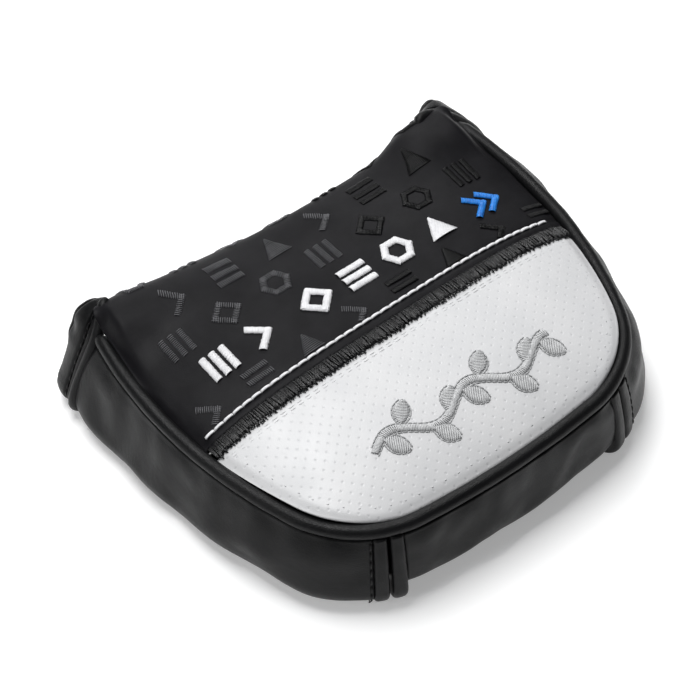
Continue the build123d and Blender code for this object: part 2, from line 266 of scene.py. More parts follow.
# ---- the panel's surface ---------------------------------------------------------
def panel_height(x, y):
    x, y = np.asarray(x, float), np.asarray(y, float)
    across = 1 - np.abs(x / CROWN_SPAN) ** CROWN_POWER
    behind = 1 - (np.maximum(CROWN_Y - y, 0) / REAR_SPAN) ** REAR_POWER
    ahead = 1 - FRONT_DROP * (np.maximum(y - CROWN_Y, 0) / FRONT_SPAN) ** 2
    along = np.where(y < CROWN_Y, behind, ahead)
    ear = (np.maximum(0, np.abs(x) - 17) / 35) ** 1.7 * (np.maximum(0, y - 16) / 34) ** 2
    return PIPING_Z + CROWN * across * along + EAR_LIFT * ear


def fold_fullness(x, v):
    """How far the padding swells the fold, more towards its two ends."""
    across = 1.7 * smoothstep(6, 30, -x) + 2.0 * smoothstep(29, 43, x) - 0.35 * bell(x, 8, 14)
    return across * smoothstep(33, 44, v) * (1 - smoothstep(V_FOLD + 1, V_FOLD + 10, v))


def sheet(x, v, lift=0.0):
    """Panel fabric: v is y on top, then runs over the front fold and down the front wall."""
    x, v = np.broadcast_arrays(np.asarray(x, float), np.asarray(v, float))
    e = 0.05
    ear = smoothstep(28, 50, np.abs(x))
    p0 = np.stack([np.full(x.shape, BEND_Y), panel_height(x, BEND_Y)], -1)
    slope = (panel_height(x, BEND_Y + e) - panel_height(x, BEND_Y - e)) / (2 * e)
    t0 = np.stack([np.ones(x.shape), slope], -1)
    t0 /= np.linalg.norm(t0, axis=-1)[..., None]
    front_y = FRONT_Y + 0.9 * ear
    p3 = np.stack([front_y, FOLD_Z + 3.4 * ear], -1)
    reach = np.linalg.norm(p3 - p0, axis=-1)[..., None]
    p1 = p0 + t0 * reach * 0.52
    p2 = p3 + np.array([0.0, 1.0]) * reach * 0.30
    length = reach[..., 0] * BEND_LENGTH

    def curve(t):
        t = t[..., None]
        return (1 - t) ** 3 * p0 + 3 * (1 - t) ** 2 * t * p1 + 3 * (1 - t) * t**2 * p2 + t**3 * p3

    def at(w):
        c = curve(np.clip((w - BEND_Y) / length, 0, 1))
        down = np.maximum(w - BEND_Y - length, 0)
        bulge = 0.7 * np.sin(np.clip(down / 17, 0, 1) * pi) * (1 - ear * 0.6)
        back = (front_y - (FOLD_Y + FOLD_R + 0.1)) * smoothstep(0, 9, down)
        yy = np.where(w < BEND_Y, w, c[..., 0] + bulge - back)
        zz = np.where(w < BEND_Y, panel_height(x, w), c[..., 1] - down)
        return np.stack([x, yy, zz], -1)

    p = at(v)
    du, dv = np.zeros_like(p), at(v + e) - at(v - e)
    du[..., 0] = 2 * e
    du[..., 2] = np.where(v < BEND_Y, panel_height(x + e, v) - panel_height(x - e, v), 0)
    nrm = np.cross(du, dv)
    nrm /= np.linalg.norm(nrm, axis=-1)[..., None]
    return p + nrm * (np.asarray(lift) + fold_fullness(x, v))[..., None]


def wall_v(z):
    """Sheet coordinate v at a height on the front wall, at mid-width."""
    reach = hypot(FRONT_Y - BEND_Y, float(panel_height(0, BEND_Y)) - FOLD_Z)
    return BEND_Y + reach * BEND_LENGTH + FOLD_Z - z


# ---- materials -------------------------------------------------------------------
class Nodes:
    """Small helper for building a node material."""

    def __init__(self, name, color, rough_value, specular=0.5, sheen=0.0):
        self.mat = bpy.data.materials.new(name)
        self.mat.use_nodes = True
        self.tree = self.mat.node_tree
        self.bsdf = self.tree.nodes["Principled BSDF"]
        self.bsdf.inputs["Base Color"].default_value = (*color, 1)
        self.bsdf.inputs["Roughness"].default_value = rough_value
        self.bsdf.inputs["Specular IOR Level"].default_value = specular
        self.bsdf.inputs["Sheen Weight"].default_value = sheen
        self.bsdf.inputs["Sheen Roughness"].default_value = 0.45
        self.coords = self.tree.nodes.new("ShaderNodeTexCoord")
        self.normal = None

    def node(self, kind, inputs=None, **props):
        n = self.tree.nodes.new("ShaderNode" + kind)
        for key, value in props.items():
            setattr(n, key, value)
        for key, value in (inputs or {}).items():
            if isinstance(value, bpy.types.NodeSocket):
                self.tree.links.new(value, n.inputs[key])
            else:
                n.inputs[key].default_value = value
        return n

    def space(self, turn=(0, 0, 0), uv=False):
        source = self.coords.outputs["UV" if uv else "Object"]
        return self.node("Mapping", {0: source, "Rotation": turn}).outputs[0]

    def noise(self, scale, detail=3, rough=0.5):
        inputs = {"Vector": self.space(), "Scale": scale, "Detail": detail, "Roughness": rough}
        return self.node("TexNoise", inputs).outputs[0]

    def wave(self, vector, direction="X", **inputs):
        inputs = {key.replace("_", " "): value for key, value in inputs.items()}
        return self.node("TexWave", {"Vector": vector, **inputs}, bands_direction=direction).outputs[1]

    def pebbles(self, scale, top):
        cells = {"Vector": self.space(), "Scale": scale}
        edges = self.node("TexVoronoi", cells, feature="DISTANCE_TO_EDGE").outputs[0]
        return self.range(edges, 0, 1, 0, top)

    def math(self, op, a, b=0.0, c=0.0):
        return self.node("Math", {0: a, 1: b, 2: c}, operation=op).outputs[0]

    def ramp(self, value, *stops):
        n = self.node("ValToRGB", {0: value})
        e = n.color_ramp.elements
        while len(e) < len(stops):
            e.new(0.5)
        for slot, (at, c) in zip(e, stops):
            slot.position, slot.color = at, (*c, 1)
        return n.outputs[0]

    def range(self, value, lo, hi, a=0.0, b=1.0):
        return self.node("MapRange", {0: value, 1: a, 2: b, 3: lo, 4: hi}).outputs[0]

    def bump(self, height, strength, distance):
        inputs = {"Height": height, "Strength": strength, "Distance": distance}
        if self.normal is not None:
            inputs["Normal"] = self.normal
        self.normal = self.node("Bump", inputs).outputs[0]
        self.tree.links.new(self.normal, self.bsdf.inputs["Normal"])

    def color(self, socket):
        self.tree.links.new(socket, self.bsdf.inputs["Base Color"])

    def roughness(self, socket):
        self.tree.links.new(socket, self.bsdf.inputs["Roughness"])


def leather_material(name, dark, light, rough_lo, rough_hi):
    """Fine-grained synthetic leather with soft creases and handled, shinier patches."""
    m = Nodes(name, dark, 0.45, specular=0.17)
    wear = m.noise(45, 4, 0.6)
    m.color(m.ramp(wear, (0.3, dark), (0.75, light)))
    m.roughness(m.range(m.noise(80, 3), rough_lo, rough_hi, 0.3, 0.7))
    m.bump(m.noise(170, 3, 0.55), 0.25, 0.0006)
    m.bump(m.pebbles(1900.0, 0.25), 0.5, 0.00006)
    m.bump(m.noise(2600, 2), 0.3, 0.00005)
    return m.mat


def fabric_material(name, dark, light, rough_value=0.5):
    """Satin-faced woven cloth: diagonal floats over a fine weave, a few slubs."""
    m = Nodes(name, dark, rough_value, specular=0.11, sheen=0.03)
    twill = m.space(uv=True, turn=(0, 0, radians(28)))
    floats = m.wave(twill, Scale=1.35, Distortion=1.2, Detail=2.0, Detail_Scale=0.6)
    weft = m.wave(m.space(uv=True), "Y", Scale=2.1, Distortion=0.8, Detail=1.0)
    mottled = m.noise(150, 4, 0.6)
    mix = m.math("MULTIPLY_ADD", m.math("SUBTRACT", floats, 0.5), 0.35, mottled)
    m.color(m.ramp(mix, (0.2, dark), (0.85, light)))
    m.roughness(m.range(m.noise(60, 3), rough_value - 0.09, rough_value + 0.09, 0.3, 0.7))
    m.bump(m.noise(120, 3, 0.5), 0.2, 0.0006)
    m.bump(m.math("ADD", floats, m.math("MULTIPLY", weft, 0.5)), 0.22, 0.00006)
    m.bump(m.noise(2600, 3, 0.7), 0.5, 0.00009)
    return m.mat


def thread_material(name, dark, light, rough_value=0.38, specular=0.5):
    """Twisted embroidery thread: fine diagonal ply and uneven dye."""
    m = Nodes(name, light, rough_value, specular=specular)
    ply = m.wave(m.space(turn=(0.5, 0.3, 0.8)), Scale=900.0, Distortion=1.5, Detail=1.0)
    tone = m.math("MULTIPLY_ADD", ply, 0.35, m.noise(700, 3, 0.6))
    m.color(m.ramp(tone, (0.25, dark), (0.85, light)))
    m.roughness(m.range(m.noise(400, 2), rough_value - 0.08, rough_value + 0.1, 0.3, 0.7))
    m.bump(ply, 0.4, 0.00005)
    return m.mat


def perforated_material(name):
    """White synthetic leather with staggered pin holes and a soft emboss."""
    m = Nodes(name, (0.8, 0.8, 0.81), 0.42, specular=0.45)
    p = m.node("SeparateXYZ", {0: m.space()})
    pitch, radius = 0.0034, 0.00022
    row = m.math("DIVIDE", p.outputs[1], pitch * 0.5)
    row_id = m.math("ROUND", row)
    odd = m.math("MULTIPLY", m.math("PINGPONG", row_id, 1.0), 0.5)
    cx = m.math("SUBTRACT", m.math("DIVIDE", p.outputs[0], pitch), odd)
    dx = m.math("MULTIPLY", m.math("SUBTRACT", cx, m.math("ROUND", cx)), pitch)
    dy = m.math("MULTIPLY", m.math("SUBTRACT", row, row_id), pitch * 0.5)
    d = m.math("SQRT", m.math("ADD", m.math("MULTIPLY", dx, dx), m.math("MULTIPLY", dy, dy)))
    hole = m.range(d, 0.0, 1.0, radius * 0.35, radius)
    dimple = m.range(d, 0.0, 1.0, radius * 0.5, radius * 2.2)
    base = m.ramp(m.noise(55, 4, 0.6), (0.3, (0.60, 0.605, 0.615)), (0.75, (0.67, 0.67, 0.675)))
    m.color(m.node("MixRGB", {0: hole, 1: (0.50, 0.51, 0.52, 1), 2: base}).outputs[0])
    m.roughness(m.range(m.noise(90, 3), 0.36, 0.5, 0.3, 0.7))
    m.bump(m.noise(160, 3, 0.5), 0.15, 0.0005)
    m.bump(dimple, 0.5, 0.00013)
    m.bump(m.pebbles(2100.0, 0.2), 0.22, 0.00004)
    return m.mat


def fleece_material(name, dark, light):
    """Short brushed pile: clumped fibres and a strong sheen."""
    m = Nodes(name, dark, 0.95, specular=0.1, sheen=0.12)
    clumps = m.noise(420, 5, 0.75)
    m.color(m.ramp(clumps, (0.3, dark), (0.72, light)))
    m.bump(clumps, 0.9, 0.0007)
    m.bump(m.noise(2400, 3, 0.8), 0.8, 0.0003)
    return m.mat


def plain_material(name, dark, light, rough_value, scale=300, bump=0.2, metallic=0.0):
    """Moulded or pressed sheet with slight mottling."""
    m = Nodes(name, dark, rough_value)
    m.bsdf.inputs["Metallic"].default_value = metallic
    grain = m.noise(scale, 4, 0.6)
    m.color(m.ramp(grain, (0.3, dark), (0.75, light)))
    m.roughness(m.range(grain, rough_value - 0.08, rough_value + 0.08, 0.3, 0.7))
    m.bump(m.noise(scale * 5, 3), bump, 0.00008)
    return m.mat


MATERIALS = {
    "black_fabric": (fabric_material, (0.0030, 0.0028, 0.0037), (0.0085, 0.0081, 0.0098)),
    "black_leather": (leather_material, (0.0035, 0.0036, 0.0039), (0.0066, 0.0067, 0.0072), 0.31, 0.44),
    "white_leather": (perforated_material,),
    "black_thread": (thread_material, (0.001, 0.001, 0.0012), (0.012, 0.012, 0.013), 0.26),
    "white_thread": (thread_material, (0.62, 0.62, 0.64), (0.85, 0.85, 0.86), 0.45),
    "blue_thread": (thread_material, (0.004, 0.065, 0.33), (0.02, 0.26, 0.78), 0.4),
    "tonal_thread": (thread_material, (0.03, 0.03, 0.033), (0.11, 0.11, 0.118), 0.42),
    "dark_thread": (thread_material, (0.0006, 0.0006, 0.0007), (0.003, 0.003, 0.0035), 0.4, 0.22),
    "grey_thread": (thread_material, (0.43, 0.435, 0.44), (0.66, 0.665, 0.67), 0.4),
    # outline_thread: grey_thread drawn darker, as painted shade at the edges of the emblem.
    "outline_thread": (thread_material, (0.26, 0.265, 0.27), (0.44, 0.445, 0.45), 0.4),
    "fleece": (fleece_material, (0.008, 0.008, 0.009), (0.035, 0.035, 0.038)),
    "foam": (plain_material, (0.05, 0.05, 0.05), (0.12, 0.12, 0.12), 0.9, 900, 0.7),
    "cord": (plain_material, (0.12, 0.12, 0.12), (0.3, 0.3, 0.3), 0.8, 1200, 0.5),
    "board": (plain_material, (0.03, 0.03, 0.03), (0.07, 0.07, 0.07), 0.6),
    "magnet": (plain_material, (0.45, 0.45, 0.46), (0.62, 0.62, 0.63), 0.3, 300, 0.2, 1.0),
}
MAT = {name: make(name, *look) for name, (make, *look) in MATERIALS.items()}
for part in frame["record"]["subparts"]:
    node = frame["nodes"].get(part["node"])
    if node is not None:
        node.data.materials.clear()
        node.data.materials.append(MAT[part["material_slot"]])


def finish_piece(obj, body, slot, *nodes):
    """Body and the CAD nodes that a piece stands for; slot, its finish, is not used."""
    if body:
        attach(obj, body)
    if nodes:
        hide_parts(*nodes)
    return obj


def layer(name, outer, inner, body, slot, *nodes, uv=None):
    """A closed sheet of one material on a body."""
    return finish_piece(slab(name, outer, inner, MAT[slot], uv=uv), body, slot, *nodes)


def leather_tube(name, path, radius, sides, *nodes):
    """A piped, rolled or hemmed leather edge of the shell."""
    return finish_piece(tube(name, path, radius, MAT["black_leather"], sides), "shell", "black_leather", *nodes)


# ---- threads ---------------------------------------------------------------------
def strands(name, rows, material, width=0.19, height=0.17, samples=6):
    """One mesh of embroidery threads; each row is (x0, v0, x1, v1, base lift, arch)."""
    rows = np.asarray(rows, float)
    t = np.linspace(0, 1, samples)
    x = rows[:, None, 0] + (rows[:, None, 2] - rows[:, None, 0]) * t
    v = rows[:, None, 1] + (rows[:, None, 3] - rows[:, None, 1]) * t
    lift = rows[:, None, 4] + rows[:, None, 5] * np.sin(pi * t) ** 0.5
    p = sheet(x, v, lift)
    up = sheet(x, v, lift + 1.0) - p
    along = np.gradient(p, axis=1)
    along /= np.maximum(np.linalg.norm(along, axis=2), 1e-9)[..., None]
    side = np.cross(along, up)
    side /= np.maximum(np.linalg.norm(side, axis=2), 1e-9)[..., None]
    ring = [(1, 0), (0.55, 0.85), (-0.55, 0.85), (-1, 0), (0, -0.6)]
    points = np.stack([p + side * width * a + up * height * b for a, b in ring], 2)
    n, k = len(rows), len(ring)
    base = grid_faces(samples, k, wrap_v=True)
    base += [[0, 1, 2, 3, 4], [(samples - 1) * k + j for j in (4, 3, 2, 1, 0)]]
    faces = []
    for i in range(n):
        off = i * samples * k
        faces += [[q + off for q in f] for f in base]
    return mesh_object(name, points.reshape(-1, 3), faces, material)


def embroider(name, rows, slot, *nodes, material=None, **size):
    """Threads on the shell; size is what strands takes."""
    return finish_piece(strands(name, rows, MAT[material or slot], **size), "shell", slot, *nodes)


def satin(a, b, wa, wb, pitch=0.30, lift=0.12, arch=0.42, jitter=0.045, slant=0.12):
    """Threads laid across a bar from a to b, wa wide at a and wb at b."""
    a, b = np.asarray(a, float), np.asarray(b, float)
    length = np.linalg.norm(b - a)
    d = (b - a) / length
    side = np.array([-d[1], d[0]])
    rows, count = [], max(2, int(length / pitch))
    for k in range(count):
        t = (k + 0.5) / count
        w = (wa + (wb - wa) * t) / 2
        c = a + d * length * t
        p = c + side * (w + RNG.normal(0, jitter)) - d * slant
        q = c - side * (w + RNG.normal(0, jitter)) + d * slant
        rows.append((*p, *q, lift + RNG.normal(0, 0.02), arch * min(1.0, 0.45 + w * 0.6)))
    return rows


def polygon_bars(sides, r, w, turn=0.0):
    """Bars along the sides of a polygon, running a little past its corners."""
    angles = turn + 2 * pi * np.arange(sides) / sides
    corners = r * np.stack([np.cos(angles), np.sin(angles)], 1)
    bars = []
    for a, b in zip(corners, np.roll(corners, -1, axis=0)):
        over = (b - a) * 0.34 * w / np.linalg.norm(b - a)
        bars.append((a - over, b + over, w, w))
    return bars


def motif_bars(kind, s, w):
    """Plain geometric motifs drawn as bars in a square of side s."""
    h = s / 2
    shapes = (
        [((x * s * 0.36, -h), (x * s * 0.36, h), w, w) for x in (-1, 0, 1)],
        [((-h * 0.6, h), (h * 0.66, -h * 0.12), w, w), ((h * 0.66, h * 0.12), (-h * 0.6, -h), w, w)],
        polygon_bars(4, s * 0.47, w, pi / 2),
        [((-h, y * s * 0.36), (h, y * s * 0.36), w, w) for y in (-1, 0, 1)],
        polygon_bars(6, s * 0.46, w, 0.0),
        [((0, -h * 0.9), (0, h * 0.95), s, 0.5)],
    )
    return shapes[kind % len(shapes)]


def place(bars, x, y):
    return [((x + a[0], y + a[1]), (x + b[0], y + b[1]), wa, wb) for a, b, wa, wb in bars]


# ---- decorated panel -------------------------------------------------------------
V_END = wall_v(6.0)
V_FOLD = wall_v(FOLD_Z)


def fabric_half(v):
    """Half-width of the fabric at sheet coordinate v."""
    v = np.asarray(v, float)
    top = half_width(np.minimum(v, 43.5), -1.3)
    corner = 56.8 - 9.0 * smoothstep(V_FOLD - 5.0, V_FOLD + 2.5, v)
    fold = corner + (top - corner) * (1 - smoothstep(BEND_Y, V_FOLD - 3.0, v))
    down = smoothstep(V_FOLD + 10.6, V_FOLD + 14.0, v)
    return np.where(v < BEND_Y, top, fold + 10.0 * down)


def stitch_y(x):
    return 5.5 + 0.8 * x / 55 - 0.5 * (x / 55) ** 2


def band_shift(x):
    return 0.7 * x / 55


def over_fold(obj):
    """Bakes the piece's transform into its mesh; the fold's two ends are worked out but not used."""
    y = FOLD_Y + SHIFT
    start, end = (0, y, FOLD_Z + FOLD_R), (0, y + FOLD_R, FOLD_Z)
    [tuple(c / 1000 for c in q) for q in (start, end)]
    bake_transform(obj)


def under_layers(name, x, v, lift, foam_node, lining_node):
    """Foam and fleece lining that follow the underside of a part of the panel."""
    nap = 0.35 * np.abs(ripple(x, v, 1.6, 4.0))
    outer, inner = sheet(x, v, lift - 0.8), sheet(x, v, lift - 2.7)
    foam = layer(f"{name}_foam", outer, inner, "shell", "foam", *foam_node)
    outer, inner = sheet(x, v, lift - 2.8), sheet(x, v, lift - 4.0 - nap)
    layer(f"{name}_lining", outer, inner, "shell", "fleece", *lining_node)


def panel_fabric():
    v = np.concatenate([np.linspace(BAND[1] - 0.6, 42, 52), np.linspace(42.6, V_FOLD + 2, 26),
                        np.linspace(V_FOLD + 2.8, V_END, 20)])
    u = np.sin(np.linspace(-pi / 2, pi / 2, 111) * 0.86) / sin(pi / 2 * 0.86)
    vv, uu = np.meshgrid(v, u, indexing="ij")
    x = uu * fabric_half(vv)
    vv = vv + band_shift(x) * (1 - smoothstep(BAND[1], 20, vv))
    edge = (1 - np.abs(uu)) * fabric_half(vv)
    dip = -0.65 * (1 - smoothstep(0.0, 2.6, edge)) * (1 - smoothstep(42, 46, vv))
    above = np.maximum(panel_height(x, np.minimum(vv, 46.0)) - PIPING_Z - 1.0, 0)
    dip = dip - above * (1 - smoothstep(0, 4.5, edge)) ** 1.5 * (1 - smoothstep(45.5, 50.5, vv))
    line = -0.30 * bell(vv, stitch_y(x), 0.55) * (vv < 12)
    welt = 0.22 * bell(vv, stitch_y(x) - 1.7, 0.8) * (vv < 12)
    crease = 0.16 * ripple(x, vv, (9, 16))
    outer = sheet(x, vv, dip + line + welt + crease)
    inner = sheet(x, vv, dip + line + crease - 0.6)
    rows = slice(0, int(np.searchsorted(v, 43.2)))
    under_layers("panel_front", x[rows] * 0.985, vv[rows], (dip + line)[rows], ["panel_foam"], ["panel_lining"])
    obj = slab("panel_fabric", outer, inner, MAT["black_fabric"], uv=np.stack([x, vv], -1))
    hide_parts("face_fabric", "flap_fabric")
    over_fold(obj)


def white_panel():
    nu, nv = 121, 44
    s_top = s_at_y(BAND[0])
    bx, by, _, _ = plan(np.linspace(-s_top, s_top, nu), -PANEL_INSET)
    tx = np.sin(np.linspace(-pi / 2, pi / 2, nu)) * float(half_width(BAND[0], -PANEL_INSET))
    ty = BAND[0] + band_shift(tx)
    t = np.linspace(0, 1, nv) ** 0.9
    x = tx[None] + (bx - tx)[None] * t[:, None]
    y = ty[None] + (by - ty)[None] * t[:, None]
    gap = np.abs(x) - half_width(np.maximum(y, -43.4), -PANEL_INSET)
    rear = REAR_Y + PANEL_INSET + x**2 / (2 * REAR_R) - y
    edge = np.maximum(np.minimum(-gap, -rear), 0)
    dip = -0.62 * (1 - smoothstep(0.0, 3.0, edge))
    under = -0.25 * (1 - smoothstep(0.0, 1.6, ty[None] - y))
    soft = 0.10 * ripple(x, y, 14)
    lift = dip + under + soft
    under_layers("panel_rear", x * 0.985, y, lift, [], [])
    obj = layer("white_panel_leather", sheet(x, y, lift), sheet(x, y, lift - 0.7), "shell", "white_leather",
                "white_panel", uv=np.stack([x, y], -1))


def satin_band():
    rows = []
    half = float(half_width(0.0, -2.0))
    x = -half
    while x < half:
        up = BAND[1] + 0.1 + RNG.normal(0, 0.07)
        low = BAND[0] - 0.1 - 0.75 * abs(sin(x * 2.3)) ** 3 + RNG.normal(0, 0.16)
        edge = 0.5 * (1 - smoothstep(0, 3, half - abs(x)))
        shift = band_shift(x)
        rows.append((x, up + shift, x + RNG.normal(0.45, 0.30), low + shift,
                     0.10 - edge + abs(RNG.normal(0, 0.11)), 0.40))
        if RNG.random() < 0.5:
            mid = RNG.uniform(*BAND)
            rows.append((x, mid + shift, x + 0.4, low + shift - RNG.uniform(0, 0.25), 0.2 - edge, 0.36))
        x += 0.31
    band = embroider("satin_band_threads", rows, "black_thread", "satin_band",
                     width=0.15, height=0.19, samples=7)
    across, down = np.linspace(-half, half, 90), np.linspace(BAND[0] + 0.35, BAND[1] + 0.2, 6)
    xx, yy = np.meshgrid(across, down, indexing="ij")
    yy = yy + band_shift(xx)
    drop = 0.55 * (1 - smoothstep(0, 3, half - np.abs(xx)))
    outer, inner = sheet(xx, yy, 0.06 - drop), sheet(xx, yy, -0.5 - drop)
    backing = slab("satin_band_backing", outer, inner, MAT["black_thread"])
    backing.parent = band


def stitch_lines(path, length, gap, start, samples):
    """Short polylines laid end to end along a path, one for each stitch."""
    path = np.asarray(path, float)
    s, at, lines = travelled(path), start, []
    while at + length < s[-1]:
        lines.append(points_at(path, s, np.linspace(at, at + length, samples)))
        at += length + gap
    return lines


def running_stitch(path, length, gap, lift, arch):
    """Rows of a flat stitch line along a curve on the panel."""
    return [(*a, *b, lift, arch) for a, b in stitch_lines(path, length, gap, 0.4, 2)]


def panel_stitches():
    xs = np.linspace(-55.6, 55.6, 200)
    rows = running_stitch(np.stack([xs, stitch_y(xs)], -1), 2.75, 0.12, -0.12, 0.42)
    embroider("contrast_stitch_threads", rows, "white_thread", "contrast_stitch",
              width=0.46, height=0.36, samples=9)
    rows = []
    for off in (1.9, 2.7):
        line = np.stack([xs * 0.965, BAND[0] - off + band_shift(xs)], -1)
        rows += running_stitch(line, 1.5, 1.0, -0.10, 0.10)
    bx, by, _, _ = plan(np.linspace(-s_at_y(-9), s_at_y(-9), 400), -4.6)
    rows += running_stitch(np.stack([bx, by], -1), 0.5, 3.3, -0.02, 0.14)
    embroider("panel_edge_stitches", rows, "grey_thread", width=0.13, height=0.10, samples=4)


def embroidery():
    rows = []
    for kind, x in enumerate((-40.7, -28.0, -10.8, 2.0, 15.0, 28.0)):
        for bar in place(motif_bars(kind, 8.0, 2.0), x, 18.6 + 0.01 * x):
            rows += satin(*bar)
    embroider("embroidered_motifs_white", rows, "white_thread", "motifs_white")
    rows = []
    for off in (-2.1, 2.1):
        for bar in place(motif_bars(1, 7.6, 1.8), 43.4 + off, 18.9):
            rows += satin(*bar)
    embroider("embroidered_motif_blue", rows, "blue_thread", "motif_blue")
    # The tonal motifs are one embroidery split by position into two tones: the lighter thread on the left is
    # painted light, the darker thread on the right is painted shade.
    light, dark = [], []
    table = ((8.6, -50.5, 15.0, 8), (30.2, -45.5, 15.2, 7), (41.0, -53.5, 15.2, 8),
             (52.4, -44.0, 14.7, 7), (63.2, -37.0, 14.8, 6))
    for r, (v, x0, step, count) in enumerate(table):
        for i in range(count):
            x, kind = x0 + i * step, i * 2 + r * 5 + 1
            if abs(x) > 46 and v > 25:
                continue
            # Motifs left of about x = 6 mm go into light, drawn lighter as painted light; the rest go into
            # dark, drawn darker as painted shade.
            target = light if x + 8 * ((i + r) % 3 - 1) < 6 else dark
            for bar in place(motif_bars(kind, 7.6, 1.7), x, v + 0.01 * x):
                for row in satin(*bar, pitch=0.36 if target is dark else 0.52, arch=0.18, lift=0.06):
                    mid_x, mid_v = (row[0] + row[2]) / 2, (row[1] + row[3]) / 2
                    if abs(mid_x) < fabric_half(mid_v) - 1.2 and mid_v > stitch_y(mid_x) + 0.9:
                        target.append(row)
    for tone, rows, mat in (("light", light, "tonal_thread"), ("dark", dark, "dark_thread")):
        width = 0.2 if tone == "dark" else 0.15
        obj = strands(f"embroidered_tonal_{tone}", rows, MAT[mat], width=width, height=0.15)
        if tone == "dark":
            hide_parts("motifs_tonal")
        over_fold(obj)


def emblem():
    """A wavy stem with leaves, in grey satin stitch with an outline drawn in darker grey as painted shade."""
    ex, ey = 1.2, -26.0
    rows, outline = [], []
    stem = [(ex - 28 + 56 * t, ey + 2.7 * sin(t * 4.6 * pi)) for t in np.linspace(0, 1, 60)]
    for a, b in zip(stem, stem[1:]):
        rows += satin(a, b, 1.9, 1.9, pitch=0.34, jitter=0.04)
    for i in range(9):
        side = 1 if i % 2 else -1
        t = 0.06 + i * 0.108
        root = np.array([ex - 28 + 56 * t, ey + 2.7 * sin(t * 4.6 * pi)])
        lean = radians(52 * side)
        d = np.array([cos(lean), sin(lean)])
        for k in range(8):
            a, b = root + d * (0.9 + k * 0.86), root + d * (0.9 + (k + 1) * 0.86)
            wa, wb = [4.0 * sin(pi * q / 8) ** 0.8 + 0.3 for q in (k, k + 1)]
            rows += satin(a, b, wa, wb, pitch=0.34, jitter=0.05, slant=0.25)
        n = np.array([-d[1], d[0]])
        for sgn in (-1, 1):
            edge = [root + d * (0.7 + 7.2 * q) + n * sgn * (0.45 + 2.0 * sin(pi * q) ** 0.8)
                    for q in np.linspace(0, 1, 12)]
            outline += running_stitch(edge, 1.2, 0.15, 0.02, 0.16)
    for sgn in (-1, 1):
        outline += running_stitch([(x, y + sgn * 1.4) for x, y in stem], 1.2, 0.15, 0.02, 0.16)
    embroider("embroidered_emblem", rows, "grey_thread", "emblem_grey", width=0.19, height=0.15)
    # The outline is grey thread drawn in the darker outline_thread: painted shade along the edges of the leaves
    # and stem.
    embroider("embroidered_emblem_outline", outline, "grey_thread", material="outline_thread",
              width=0.17, height=0.14, samples=5)


panel_fabric()
white_panel()
satin_band()
panel_stitches()
embroidery()
emblem()


# ---- piping ----------------------------------------------------------------------
def piping():
    end = s_at_y(47.2)
    s = np.linspace(-end, end, 420)
    x, y, nx, ny = plan(s)
    wob = 0.22 * ripple(x, y, 11)
    z = PIPING_Z + 0.5 * wob
    path = np.stack([x + nx * wob * 0.6, y + ny * wob * 0.6, z], -1)
    tip = smoothstep(end - 3.0, end, np.abs(s))
    path += np.stack([0.3 * nx * tip, 0 * tip, -0.5 * tip], -1)
    r = PIPING_R * (1 + 0.05 * rough(path / 6, 3.0)) * (1 - 0.35 * tip)
    leather_tube("piping_leather", path, r, 20, "piping_cover")


piping()


# ---- gussets ---------------------------------------------------------------------
SIDE_WALL = dict(n_top=1.6, z_top=24.2, n_max=7.1, r_low=6.2, z_low=6.2, turn=0.25, n_in=-3.0)
REAR_WALL = dict(n_top=1.8, z_top=24.0, n_max=4.6, r_low=5.0, z_low=8.2, turn=0.09, n_in=0.0)
TURN_W, TURN_GAP = 3.4, 0.5
GUSSET_END = s_at_y(45.0)
WALL_ROWS = 46
CLOTH_SCALE = 100  # the cloth is simulated ten times its real size
CAPSULE = np.array([0.45, 0.95, 1, 1, 0.95, 0.45])  # a stitch's radius along its length


def wall_line(depth, n_top, z_top, n_max, r_low, z_low, turn, n_in):
    """Points (n, z) from the top seam down and under, at a depth below the outer face."""
    c_low = (n_max - r_low, z_low)
    ux, uy = cos(turn), sin(turn)
    vx, vy = n_top - c_low[0], z_top - c_low[1]
    dot = vx * ux + vy * uy
    r_up = (vx**2 + vy**2 - 2 * r_low * dot + r_low**2) / (2 * (r_low - dot))
    c_up = (c_low[0] - (r_up - r_low) * ux, c_low[1] - (r_up - r_low) * uy)
    top = atan2(z_top - c_up[1], n_top - c_up[0])
    a = np.linspace(top, turn, 40)
    b = np.linspace(turn, -pi / 2, 20)[1:]
    pts = [np.stack([c_up[0] + (r_up - depth) * np.cos(a), c_up[1] + (r_up - depth) * np.sin(a)], 1),
           np.stack([c_low[0] + (r_low - depth) * np.cos(b), c_low[1] + (r_low - depth) * np.sin(b)], 1)]
    if n_in < c_low[0] - 0.01:
        pts.append(np.array([[n_in, z_low - r_low + depth]]))
    return resample(np.concatenate(pts), WALL_ROWS)


def fullness(s, wall):
    """Gusset section at arc length s: fuller at the front, tucked at the rear corners."""
    a = np.abs(s)
    front = smoothstep(S_SEAM + 26, S_FRONT, a)
    tuck = 1 - smoothstep(S_SEAM, S_SEAM + 20, a)
    middle = smoothstep(S_SEAM + 8, S_SEAM + 28, a) * (1 - smoothstep(S_FRONT - 24, S_FRONT - 6, a))
    slack = middle * (-0.9 if s < 0 else 0.8)
    section = dict(wall)
    if wall is SIDE_WALL:
        change = 2.6 * float(front) ** 2 - (1.0 if s < 0 else 1.7) * float(tuck) + float(slack)
        section["n_max"] = wall["n_max"] + change
        section["r_low"] = wall["r_low"] - 0.6 * float(tuck)
        section["z_low"] = section["r_low"]
        section["turn"] = wall["turn"] + 0.085 * min(change, 0)
    return section


